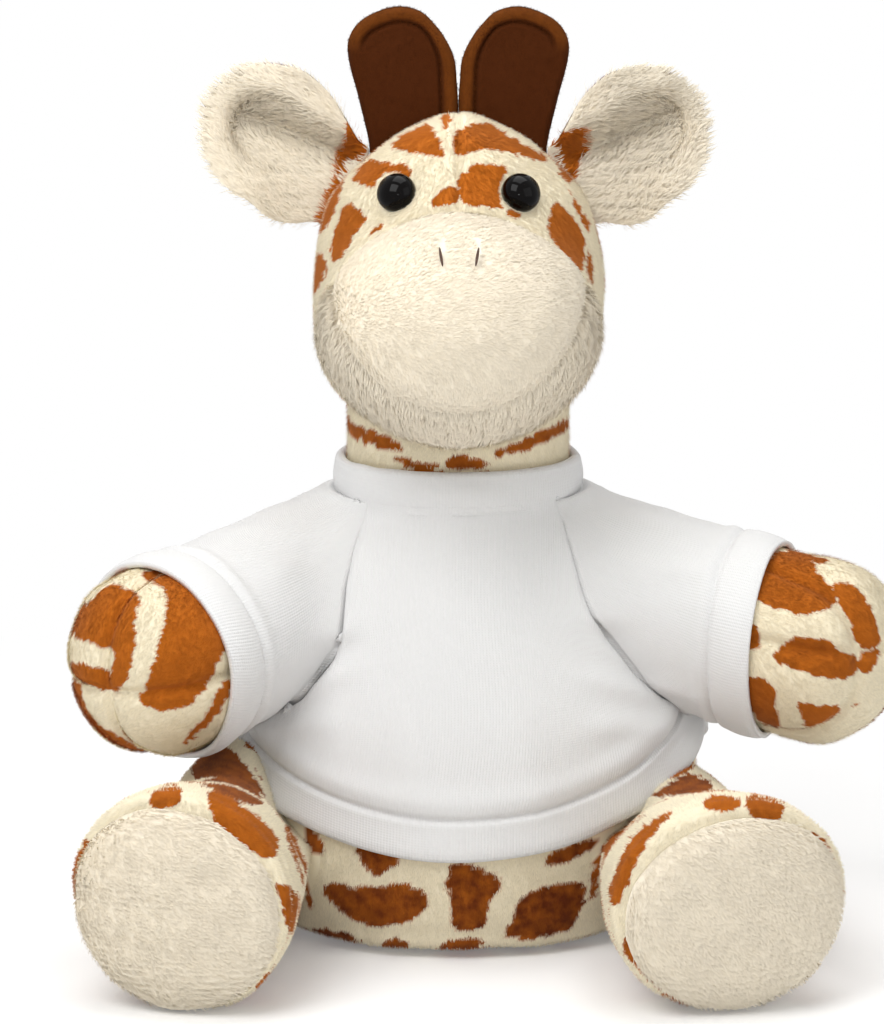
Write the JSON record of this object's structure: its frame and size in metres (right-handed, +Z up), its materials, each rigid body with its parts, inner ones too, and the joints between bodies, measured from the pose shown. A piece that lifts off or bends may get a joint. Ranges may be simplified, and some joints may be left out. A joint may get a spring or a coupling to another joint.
{
  "type": "plush giraffe",
  "caption": "Seated plush giraffe toy in a plain short-sleeved shirt, with stuffed body, head and limbs that turn at their seams, felt horns and cupped ears.",
  "frame": {"origin": "middle of the flat seat, on the surface it sits on", "axes": "+Z up, the face looks along -Y, the giraffe's left side is at +X"},
  "size_m": [0.1622, 0.1491, 0.1826],
  "materials": {
    "spotted_plush": "short pile plush, orange-brown patches on a cream ground",
    "cream_plush": "longer cream pile plush, about 2.5 mm, brushed",
    "jersey": "plain white jersey knit, sewn hems",
    "rib_knit": "white knitted collar band, doubled",
    "felt": "dark brown felt",
    "stuffing": "loose polyester fibre filling",
    "pouch_cloth": "woven bag with plastic pellets",
    "thread": "brown embroidery thread",
    "eye_gloss": "black moulded safety eye, polished dome",
    "washer_plastic": "moulded locking washer"
  },
  "bodies": {
    "torso": {"body_skin": "spotted_plush", "pellet_pouch": "pouch_cloth", "body_stuffing": "stuffing", "shirt_front_panel": "jersey", "shirt_back_panel": "jersey", "collar_band": "rib_knit"},
    "neck": {"neck_skin": "spotted_plush", "neck_stuffing": "stuffing"},
    "head": {"head_skin": "spotted_plush", "nose_panel": "cream_plush", "chin_panel": "cream_plush", "head_stuffing": "stuffing", "right_eye": "eye_gloss", "right_eye_washer": "washer_plastic", "right_nostril_stitch": "thread", "left_eye": "eye_gloss", "left_eye_washer": "washer_plastic", "left_nostril_stitch": "thread"},
    "right_ear": {"right_ear_front": "cream_plush", "right_ear_back": "spotted_plush"},
    "right_horn": {"right_horn_front": "felt", "right_horn_back": "felt"},
    "right_arm": {"right_arm_skin": "spotted_plush", "right_arm_stuffing": "stuffing", "right_sleeve": "jersey"},
    "right_leg": {"right_leg_skin": "spotted_plush", "right_sole": "cream_plush", "right_leg_stuffing": "stuffing"},
    "left_ear": {"left_ear_front": "cream_plush", "left_ear_back": "spotted_plush"},
    "left_horn": {"left_horn_front": "felt", "left_horn_back": "felt"},
    "left_arm": {"left_arm_skin": "spotted_plush", "left_arm_stuffing": "stuffing", "left_sleeve": "jersey"},
    "left_leg": {"left_leg_skin": "spotted_plush", "left_sole": "cream_plush", "left_leg_stuffing": "stuffing"},
    "tail": {"tail": "spotted_plush", "tail_tuft": "felt"}
  },
  "joints": [
    {"name": "head_turn", "type": "hinge", "parent": "torso", "child": "neck", "pos_m": [0, 0, 0.0863], "axis": [0, 0, 1], "range_deg": [-35, 35], "stiffness_Nm_per_rad": 0.3},
    {"name": "head_nod", "type": "hinge", "parent": "neck", "child": "head", "pos_m": [0, 0, 0.103], "axis": [1, 0, 0], "range_deg": [-12, 5], "stiffness_Nm_per_rad": 0.6},
    {"name": "right_shoulder", "type": "hinge", "parent": "torso", "child": "right_arm", "pos_m": [-0.027, -0.002, 0.067], "axis": [-0.7474, 0.6644, 0], "range_deg": [-2, 30], "stiffness_Nm_per_rad": 0.3},
    {"name": "right_hip", "type": "hinge", "parent": "torso", "child": "right_leg", "pos_m": [-0.037, -0.018, 0.0218], "axis": [0, 0, 1], "range_deg": [-22, 8], "stiffness_Nm_per_rad": 0.3},
    {"name": "right_ear_flap", "type": "hinge", "parent": "head", "child": "right_ear", "pos_m": [-0.0233, 0, 0.1505], "axis": [0.5, 0, 0.866], "range_deg": [-20, 20], "stiffness_Nm_per_rad": 0.02},
    {"name": "right_horn_fold", "type": "hinge", "parent": "head", "child": "right_horn", "pos_m": [-0.0095, 0, 0.1593], "axis": [0.9135, 0, 0.4067], "range_deg": [-12, 12], "stiffness_Nm_per_rad": 0.02},
    {"name": "left_shoulder", "type": "hinge", "parent": "torso", "child": "left_arm", "pos_m": [0.027, -0.002, 0.067], "axis": [-0.3422, -0.9396, 0], "range_deg": [-10, 30], "stiffness_Nm_per_rad": 0.3},
    {"name": "left_hip", "type": "hinge", "parent": "torso", "child": "left_leg", "pos_m": [0.037, -0.018, 0.0218], "axis": [0, 0, 1], "range_deg": [-8, 22], "stiffness_Nm_per_rad": 0.3},
    {"name": "left_ear_flap", "type": "hinge", "parent": "head", "child": "left_ear", "pos_m": [0.0233, 0, 0.1505], "axis": [0.5, 0, -0.866], "range_deg": [-20, 20], "stiffness_Nm_per_rad": 0.02},
    {"name": "left_horn_fold", "type": "hinge", "parent": "head", "child": "left_horn", "pos_m": [0.0095, 0, 0.1593], "axis": [0.9135, 0, -0.4067], "range_deg": [-12, 12], "stiffness_Nm_per_rad": 0.02},
    {"name": "tail_swing", "type": "hinge", "parent": "torso", "child": "tail", "pos_m": [0, 0.034, 0.013], "axis": [0, 0, 1], "range_deg": [-20, 20], "stiffness_Nm_per_rad": 0.02}
  ]
}
